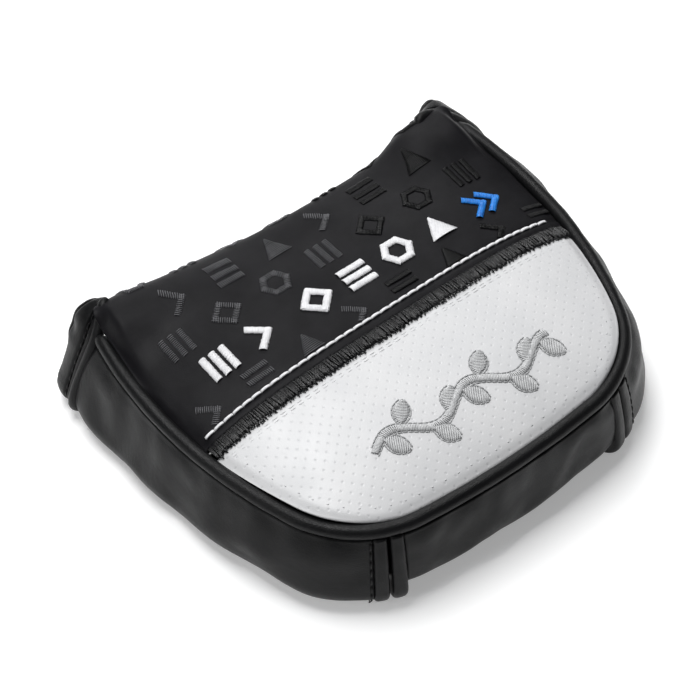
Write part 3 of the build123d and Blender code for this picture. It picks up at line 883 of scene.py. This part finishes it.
def wall_grid(s_values, wall, depth, offset=None, n_in=None):
    """Grid of points over a gusset; offset(s, t) pushes it outward in millimetres."""
    grid = []
    t = np.linspace(0, 1, WALL_ROWS)
    for s in s_values:
        section = fullness(s, wall)
        if n_in is not None:
            section["n_in"] = n_in
        line = wall_line(depth, **section)
        tangent = np.gradient(line, axis=0)
        tangent /= np.linalg.norm(tangent, axis=1)[:, None]
        normal = np.stack([-tangent[:, 1], tangent[:, 0]], 1)
        if offset is not None:
            line = line + normal * offset(s, t)[:, None]
        x0, y0, nx, ny = (float(v[0]) for v in plan(s))
        grid.append(np.stack([x0 + nx * line[:, 0], y0 + ny * line[:, 0], line[:, 1]], 1))
    grid = np.array(grid)
    grid[..., 2] = np.maximum(grid[..., 2], 0.04 + depth)
    return grid


def wall_noise(s, t, length, waves, layer, seed, slant=0.0):
    """Noise down a gusset at arc length s, with a number of waves from top to bottom."""
    one = np.ones(t.shape)
    return rough(np.stack([one * s / length + t * slant, t * waves, one * layer], 1), seed)


def gusset_offset(ends=True, seed=0.0, brow=0.3):
    """Soft dents, fine puckers at the top seam and pinched ends."""
    def offset(s, t):
        soft = 0.75 * wall_noise(s, t, 17, 2.2, seed, 2.0 + seed)
        pucker = 0.26 * wall_noise(s, t, 4.6, 2.0, seed, 5.0) * bell(t, 0, 0.22)
        crease = 0.24 * wall_noise(s, t, 6.5, 1.2, seed, 9.0, slant=2.6) * bell(t, 0.35, 0.3)
        hold = smoothstep(0.0, 0.08, t) * (1 - smoothstep(0.80, 1.0, t))
        pinch = 1.0
        if ends:
            pinch = smoothstep(0, 6, GUSSET_END - abs(s)) * smoothstep(0, 5, abs(s) - S_SEAM - TURN_W)
        full = brow * bell(t, 0.17, 0.13)
        return (soft + crease + full) * hold * pinch + pucker * pinch * smoothstep(0.0, 0.05, t)
    return offset


def fleece_offset(s, t):
    return -0.32 * np.abs(wall_noise(s, t, 1.3, 26, 0, 4.0)) + gusset_offset()(s, t) * 0.9


def settle(grid, held, grow=0.010, pressure=0.5, cap=1.0, frames=20):
    """Cloth simulation of a sheet held where "held" is 1; returns how far each point moved."""
    scene = bpy.context.scene
    flat = grid.reshape(-1, 3) / CLOTH_SCALE
    mesh = bpy.data.meshes.new("cloth")
    mesh.from_pydata(flat.tolist(), [], grid_faces(*grid.shape[:2]))
    obj = bpy.data.objects.new("cloth", mesh)
    scene.collection.objects.link(obj)
    pins = obj.vertex_groups.new(name="held")
    for k, w in enumerate(held.ravel()):
        if w > 0.001:
            pins.add([k], float(w), "REPLACE")
    cloth = obj.modifiers.new("cloth", "CLOTH")
    settings = dict(quality=6, mass=0.2, tension_stiffness=20, compression_stiffness=20, shear_stiffness=8,
                    bending_stiffness=12, air_damping=2, vertex_group_mass="held", shrink_min=-grow,
                    use_pressure=True, uniform_pressure_force=pressure)
    for key, value in settings.items():
        setattr(cloth.settings, key, value)
    cloth.settings.effector_weights.gravity = 0
    cloth.point_cache.frame_start, cloth.point_cache.frame_end = 1, frames
    for f in range(1, frames + 1):
        scene.frame_set(f)
    done = obj.evaluated_get(bpy.context.evaluated_depsgraph_get()).data
    moved = np.empty(len(flat) * 3)
    done.vertices.foreach_get("co", moved)
    moved = (moved.reshape(-1, 3) - flat).reshape(grid.shape) * CLOTH_SCALE
    bpy.data.objects.remove(obj)
    scene.frame_set(1)
    length = np.linalg.norm(moved, axis=2)[..., None]
    return moved * np.minimum(1, cap / np.maximum(length, 1e-6))


def wall_uv(run):
    return np.stack(np.broadcast_arrays(np.asarray(run)[:, None], np.linspace(0, 34, WALL_ROWS)), -1)


def gusset_layers(name, run, wall, offset):
    """Leather and fleece of one gusset, creased by a cloth simulation held at its seams."""
    face = wall_grid(run, wall, 0.0, offset)
    t = np.linspace(0, 1, WALL_ROWS)[None]
    k = np.linspace(0, 1, len(run))[:, None]
    seams = np.maximum(1 - smoothstep(0.02, 0.10, t), smoothstep(0.72, 0.84, t))
    moved = settle(face, np.maximum(seams, 1 - smoothstep(0.0, 0.05, np.minimum(k, 1 - k))))
    for _ in range(8):
        moved[1:-1] = (moved[1:-1] * 2 + moved[:-2] + moved[2:]) / 4
        moved[:, 1:-1] = (moved[:, 1:-1] * 2 + moved[:, :-2] + moved[:, 2:]) / 4
    back = wall_grid(run, wall, LEATHER_BACK, offset) + moved
    nap_face = wall_grid(run, wall, FLEECE_FACE, offset) + moved
    nap_back = wall_grid(run, wall, FLEECE_BACK, fleece_offset) + moved
    leather = layer(f"{name}_leather", face + moved, back, "shell", "black_leather", name, uv=wall_uv(run))
    layer(f"{name}_fleece", nap_face, nap_back, "shell", "fleece", f"{name}_lining")


def ridge(centre, width, height):
    """Rounded fold between two arc lengths, for a turned edge."""
    def offset(s, t):
        q = np.clip((s - centre) / (width / 2), -1, 1)
        bump = height * (sqrt(max(0.0, 1 - q**4 * 0.96)) - 0.55)
        soft = 0.16 * wall_noise(s, t, 5, 5, 0, 6.0)
        return np.full(t.shape, bump) + soft * smoothstep(0, 0.1, t)
    return offset


def edge_strip(side, kind, start):
    """A turned or bound edge beside the rear seam, from an arc length towards the front."""
    sign = SIDES[side]
    u = np.sin(np.linspace(-pi / 2, pi / 2, 15)) * 0.5 + 0.5
    run = np.sort(sign * (start + TURN_W * u))
    fold = ridge(sign * (start + TURN_W / 2), TURN_W, 1.5)
    outer = wall_grid(run, SIDE_WALL, 0.0, fold, n_in=1.6)
    inner = wall_grid(run, SIDE_WALL, FLEECE_BACK, n_in=1.6)
    name = f"{side}_{kind}"
    layer(f"{name}_leather", outer, inner, "shell", "black_leather", name, uv=wall_uv(run))


def wall_point(s, t, lift):
    """A point on the side wall, lifted off its face."""
    line = wall_grid([s], SIDE_WALL, 0.0, lambda _s, q: np.full(q.shape, lift))[0]
    return line[int(round(t * (WALL_ROWS - 1)))]


def loose_stitches(name, path, length, gap, material, radius=0.24, rise=(0, 0, 1), body="shell"):
    """Thick stitches along a 3-D path as one mesh of short capsules, arched towards rise."""
    n = len(CAPSULE)
    arch = 0.16 * np.sin(np.linspace(0, pi, n))[:, None] ** 0.6 * np.asarray(rise, float)
    points, faces = [], []
    for line in stitch_lines(path, length, gap, gap / 2, n):
        off = len(points) * n * n
        faces += grid_faces(n, n, wrap_v=True, base=off)
        faces += [[off + k for k in range(n)], [off + n * n - 1 - k for k in range(n)]]
        points.append(rings(line + arch, radius * CAPSULE, n))
    return finish_piece(mesh_object(name, np.concatenate(points), faces, MAT[material]), body, "black_thread")


def gussets():
    seam = S_SEAM + TURN_W
    for side, sign in SIDES.items():
        run = np.sort(sign * np.linspace(seam, GUSSET_END, 96))
        creases = gusset_offset(seed=sign, brow=0.3 if sign < 0 else 1.1)
        gusset_layers(f"{side}_gusset", run, SIDE_WALL, creases)
        edge_strip(side, "turned_edge", S_SEAM)
        edge_strip(side, "rear_binding", S_SEAM - TURN_GAP - TURN_W)
        line = [wall_point(sign * (seam + 0.45), t, 0.12) for t in np.linspace(0.03, 0.78, 60)]
        _, _, nx, ny = (float(v[0]) for v in plan(sign * seam))
        loose_stitches(f"{side}_seam_stitches", line, 2.1, 0.75, "dark_thread", rise=(nx * 0.8, ny * 0.8, 0.4))
    edge = S_SEAM - TURN_GAP - TURN_W
    gusset_layers("rear_gusset", np.linspace(-edge, edge, 90), REAR_WALL, gusset_offset(ends=False, seed=0.4))
    tail = smooth_path([wall_point(-(seam + ahead), t, lift)
                        for ahead, t, lift in ((0.4, 0.72, 0.2), (0.9, 0.76, 0.9), (0.7, 0.80, 1.5))], 10)
    finish_piece(tube("thread_tail", tail, 0.16, MAT["dark_thread"], sides=6), "shell", "black_thread")


gussets()


# ---- front collars ---------------------------------------------------------------
NU, NV = 72, 30
RIDGE = {
    "left": [(-51.4, 52.4, 29.6), (-52.8, 51.8, 29.6), (-54.9, 49.9, 27.9), (-58.6, 47.2, 24.4),
             (-62.6, 46.9, 17.3), (-66.2, 46.9, 10.0), (-67.6, 46.8, 4.6), (-65.4, 46.8, 1.4)],
    "right": [(46.6, 50.0, 29.6), (48.8, 51.6, 30.5), (53.4, 51.8, 28.7), (58.6, 50.0, 25.0),
              (63.7, 48.0, 19.2), (67.0, 47.0, 12.0), (67.6, 46.8, 4.6), (65.4, 46.8, 1.4)],
}
EDGE = {
    "left": [(-51.2, 54.0, 28.8), (-53.0, 55.2, 28.4), (-55.4, 56.2, 27.6), (-58.4, 57.2, 24.9),
             (-61.1, 56.9, 19.8), (-62.0, 56.3, 15.6), (-64.6, 56.0, 10.6), (-67.0, 55.6, 5.0),
             (-65.6, 54.6, 1.0)],
    "right": [(47.2, 51.2, 28.6), (51.2, 54.8, 28.5), (57.2, 57.0, 27.3), (62.4, 57.2, 21.4),
              (66.4, 56.6, 14.8), (67.6, 55.9, 9.6), (67.4, 55.6, 5.0), (65.6, 54.6, 1.0)],
}


def collar_grid(side, depth):
    """Collar between its ridge and its hemmed front edge, at a depth below the face."""
    a, b = smooth_path(RIDGE[side], NU), smooth_path(EDGE[side], NU)
    sign = SIDES[side]
    across = b - a
    out = np.cross(np.gradient((a + b) / 2, axis=0), across)
    out /= np.linalg.norm(out, axis=1)[:, None]
    out *= np.sign(out[:, 0] * sign + out[:, 2] * 0.2)[:, None]
    u, k = np.linspace(0, 1, NV), np.linspace(0, 1, NU)
    if side == "right":
        lead = (1 - smoothstep(0.02, 0.22, k))[:, None]
        out = out * (1 - lead) + np.array([0.35, 0.25, 0.9]) * lead
    puff = np.sin(pi * np.clip(u * 0.92 + 0.08, 0, 1)) ** 0.8
    groove = -0.95 * bell(u, 0.33, 0.05)
    hem = -0.9 * smoothstep(0.9, 1.0, u)
    soft = rough(np.stack(np.broadcast_arrays(k[:, None] * 4.5, u[None] * 1.2, sign), -1), 8.0)
    ends = np.clip(k / 0.07, 0.25, 1)
    raised = (puff + groove + hem)[None] * ends[:, None] + 0.42 * soft - depth
    grid = a[:, None] + across[:, None] * u[None, :, None] + out[:, None] * raised[..., None]
    if side == "left":
        away = np.linalg.norm(grid - np.array([-59.6, 55.6, 22.0]), axis=2)
        grid -= out[:, None] * (0.9 * bell(away, 0, 1.7))[..., None]
    return grid


def collars():
    ends = np.clip(np.arange(NU) / 6, 0, 1) * np.clip(np.arange(NU)[::-1] / 6, 0, 1)
    for side, sign in SIDES.items():
        face, under, lining = (collar_grid(side, d) for d in (0.0, 1.3, 2.9))
        under = face + (under - face) * (0.3 + 0.7 * ends)[:, None, None]
        lining = under + (lining - under) * (0.05 + 0.95 * ends)[:, None, None]
        nap = 0.5 * np.abs(rough(lining / 1.4, 2.0))
        lining += (under - lining) * nap[..., None]
        pile = under + (lining - under) * 0.08
        for name, outer, inner, mat, node in (("leather", face, under, "black_leather", f"{side}_collar"),
                                              ("fleece", pile, lining, "fleece", f"{side}_collar_lining")):
            layer(f"{side}_collar_{name}", outer[::-sign], inner[::-sign], "shell", mat, node)
        line = smooth_path(RIDGE[side], 110)
        taper = np.minimum(1, 0.62 + np.arange(110) / 14)
        radius = 1.5 * (1 + 0.06 * rough(line / 8, sign)) * taper
        leather_tube(f"{side}_collar_roll_leather", line, radius, 18, f"{side}_collar_roll")
        groove = collar_grid(side, -0.32)[3:-3, int(round(0.35 * (NV - 1)))]
        loose_stitches(f"{side}_collar_stitches", groove, 1.9, 0.9, "dark_thread",
                       radius=0.28, rise=(0.6 * sign, 0.1, 0.6))
        hem_path = collar_grid(side, 0.6)[:, -1]
        radius = 1.05 * (1 + 0.08 * rough(hem_path / 5, 1.0)) * (0.3 + 0.7 * ends)
        leather_tube(f"{side}_collar_hem", hem_path, radius, 14)


collars()


# ---- flap, tongue and base -------------------------------------------------------
FLAP_FACE = FOLD_Y + FOLD_R
FLAP_HALF, HEM_HALF = 44.8, 57.6
HINGE = (48.2, 2.7)
TONGUE_R, TONGUE_HALF, TONGUE_TIP = 2.4, 28.0, -8.0
TONGUE_ROWS, TONGUE_FLAT = 70, 24


def flap_half(z):
    return FLAP_HALF + (HEM_HALF - FLAP_HALF) * smoothstep(12.6, 9.2, z)


def flap_pieces():
    z = np.concatenate([np.linspace(FOLD_Z - 0.3, 13, 20), np.linspace(12.5, 6.4, 22)])
    u = np.linspace(-1, 1, 90)
    zz, uu = np.meshgrid(z, u, indexing="ij")
    xx = uu * flap_half(zz)
    puff = ripple(xx, zz, 2.1, 3.0)
    for name, y0, y1, mat, node, amp in (
            ("flap_padding_cover", FLAP_FACE - 0.75, FLAP_FACE - 2.9, "foam", "flap_foam", 0.0),
            ("flap_fleece", FLAP_FACE - 3.0, FOLD_Y + 0.1, "fleece", "flap_lining", 0.45)):
        outer = np.stack([xx, np.full(xx.shape, y0), zz], -1)
        inner = np.stack([xx, y1 + amp * np.abs(puff), zz], -1)
        piece = layer(name, outer[::-1], inner[::-1], "front_flap", mat, node)
    z = np.linspace(6.8, 2.9, 12)
    zz, uu = np.meshgrid(z, u, indexing="ij")
    xx = uu * 57.8
    bulge = 0.55 * np.sin(pi * np.clip((6.8 - zz) / 3.9, 0, 1)) ** 0.6
    soft = 0.18 * ripple(xx, zz, (7, 4), 2.0)
    outer = np.stack([xx, FLAP_FACE - 0.1 + bulge + soft, zz], -1)
    inner = np.stack([xx, np.full(xx.shape, HINGE[0] - 0.5), zz], -1)
    cut = (np.abs(xx) < TONGUE_HALF + 0.4) & (zz < 5.3)
    for g in (outer, inner):
        g[..., 2] = np.where(cut, np.maximum(g[..., 2], 5.2), g[..., 2])
    layer("flap_hem_leather", outer[::-1], inner[::-1], "front_flap", "black_leather", "flap_hem")
    path = [(x, FLAP_FACE + 0.25, 5.9) for x in np.linspace(-56.5, 56.5, 120)]
    loose_stitches("flap_hem_stitches", path, 2.3, 0.8, "tonal_thread",
                   radius=0.22, rise=(0, 1, 0), body="front_flap")


def tongue_line(depth):
    """Run of the tongue in (y, z) from the hem, round the roll, back under the base."""
    r = TONGUE_R - depth
    a = np.linspace(pi / 2, -pi / 2, 26)
    arc = np.stack([HINGE[0] + r * np.cos(a), HINGE[1] + r * np.sin(a)], 1)
    tip = np.array([[TONGUE_TIP, HINGE[1] - r]])
    return resample(np.concatenate([arc, tip]), TONGUE_ROWS)


def tongue():
    q = np.linspace(0, 1, TONGUE_ROWS)
    u = np.linspace(-1, 1, 46)
    round_off = 1 - 0.42 * smoothstep(0.84, 1.0, q) ** 2.2
    for name, d0, d1, mat, node in (("tongue_leather_strap", 0.0, 0.9, "black_leather", "tongue_leather"),
                                    ("tongue_stiffener", 0.95, 1.65, "board", "tongue_board"),
                                    ("tongue_fleece", 1.7, 2.35, "fleece", "tongue_lining")):
        grids = []
        for line in (tongue_line(d0), tongue_line(d1)):
            x = (TONGUE_HALF - (0.0 if d0 == 0 else 0.5)) * u[None] * round_off[:, None]
            grids.append(np.stack(np.broadcast_arrays(x, line[:, :1], line[:, 1:]), -1))
        outer, inner = grids
        soft = 0.12 * np.abs(rough(outer / 6, 2.0))
        outer[..., 2] += soft * (q[:, None] > 0.2)
        nodes = [node, "tongue_magnets"] if node == "tongue_board" else [node]
        layer(name, outer, inner, "closure_tongue", mat, *nodes)
    inset, line, edge = 2.2, tongue_line(-0.02), []
    rows = range(TONGUE_FLAT, TONGUE_ROWS)
    for sign, order in ((-1, rows), (1, reversed(rows))):
        edge += [(sign * (TONGUE_HALF * round_off[k] - inset), max(line[k, 0], TONGUE_TIP + inset), 0.42)
                 for k in order]
    loose_stitches("tongue_stitches", edge, 2.3, 0.8, "tonal_thread",
                   radius=0.2, rise=(0, 0, -0.3), body="closure_tongue")


def base_panel():
    front, rear = 12.0, -44.4
    uu, tt = np.meshgrid(np.linspace(-1, 1, 60), np.linspace(0, 1, 60), indexing="ij")
    y_side = front + (rear - front) * tt
    half = np.minimum(half_width(np.maximum(y_side, -40.0), -0.5), 60.5)
    x = uu * half * (1 - 0.35 * smoothstep(-36, rear, y_side))
    y = np.maximum(y_side, REAR_Y + 0.9 + x**2 / (2 * REAR_R))
    soft = 0.25 * ripple(x, y, 12, 3.0)
    puff = ripple(x, y, 1.8, 1.0)
    for name, low, high, mat, node in (
            ("base_leather_panel", 3.0 + soft, 4.0 + 0 * x, "black_leather", "base_leather"),
            ("base_fleece", 5.0 + 0 * x, 6.0 + 0.4 * puff, "fleece", "base_lining")):
        layer(name, np.stack([x, y, high], -1), np.stack([x, y, low], -1), "shell", mat, node)
    path = [(x, 10.0, 2.95) for x in np.linspace(-56, 56, 130)]
    loose_stitches("base_edge_stitches", path, 2.3, 0.8, "tonal_thread", radius=0.2, rise=(0, 0, -1))


flap_pieces()
tongue()
base_panel()


# ---- camera, light and floor -----------------------------------------------------
def stage():
    az, el = radians(-37.324), radians(53.864)
    right = Vector((cos(az), sin(az), 0))
    back = Vector((sin(az) * cos(el), -cos(az) * cos(el), sin(el)))
    up = back.cross(right)
    data = bpy.data.cameras.new("camera")
    data.sensor_width = 36
    data.lens = 123.43
    data.clip_start = 0.05
    cam = bpy.data.objects.new("camera", data)
    spot = Vector((-224.75, -275.92 + SHIFT, 509.65)) / 1000
    cam.matrix_world = Matrix.Translation(spot) @ Matrix((right, up, back)).transposed().to_4x4()
    bpy.context.scene.collection.objects.link(cam)
    bpy.context.scene.camera = cam

    m = Nodes("floor", (0.86, 0.86, 0.86), 0.8, specular=0.1)
    m.color(m.ramp(m.noise(6, 3), (0.3, (0.84, 0.84, 0.84)), (0.7, (0.88, 0.88, 0.88))))
    m.bump(m.noise(900, 3), 0.05, 0.0002)
    m.bsdf.inputs["Emission Color"].default_value = (1, 1, 1, 1)
    m.bsdf.inputs["Emission Strength"].default_value = 0.30
    half = 3.0
    floor = bpy.data.meshes.new("floor")
    corners = [(-half, -half, 0), (half, -half, 0), (half, half, 0), (-half, half, 0)]
    floor.from_pydata(corners, [], [(0, 1, 2, 3)])
    floor.materials.append(m.mat)
    floor = bpy.data.objects.new("floor", floor)
    floor.location.z = -0.0002
    bpy.context.scene.collection.objects.link(floor)

    def area(name, location, target, width, height, power):
        light = bpy.data.lights.new(name, "AREA")
        light.shape = "RECTANGLE"
        light.size, light.size_y = width, height
        light.energy = power
        obj = bpy.data.objects.new(name, light)
        direction = Vector(target) - Vector(location)
        obj.rotation_euler = direction.to_track_quat("-Z", "Y").to_euler()
        obj.location = location
        bpy.context.scene.collection.objects.link(obj)

    area("key_top", (-0.02, 0.20, 0.72), (0, 0, 0.01), 0.42, 0.34, 5.2)
    area("rear_soft", (0.34, 0.62, 0.40), (0, 0, 0.02), 0.50, 0.22, 1.9)
    area("left_strip", (-0.60, 0.02, 0.42), (0, 0, 0.015), 0.12, 0.50, 0.8)
    world = bpy.data.worlds.new("studio")
    world.use_nodes = True
    background = world.node_tree.nodes["Background"]
    background.inputs["Color"].default_value = (0.95, 0.97, 1.0, 1)
    background.inputs["Strength"].default_value = 0.12
    bpy.context.scene.world = world
    bpy.context.scene.view_settings.view_transform = "Standard"


stage()
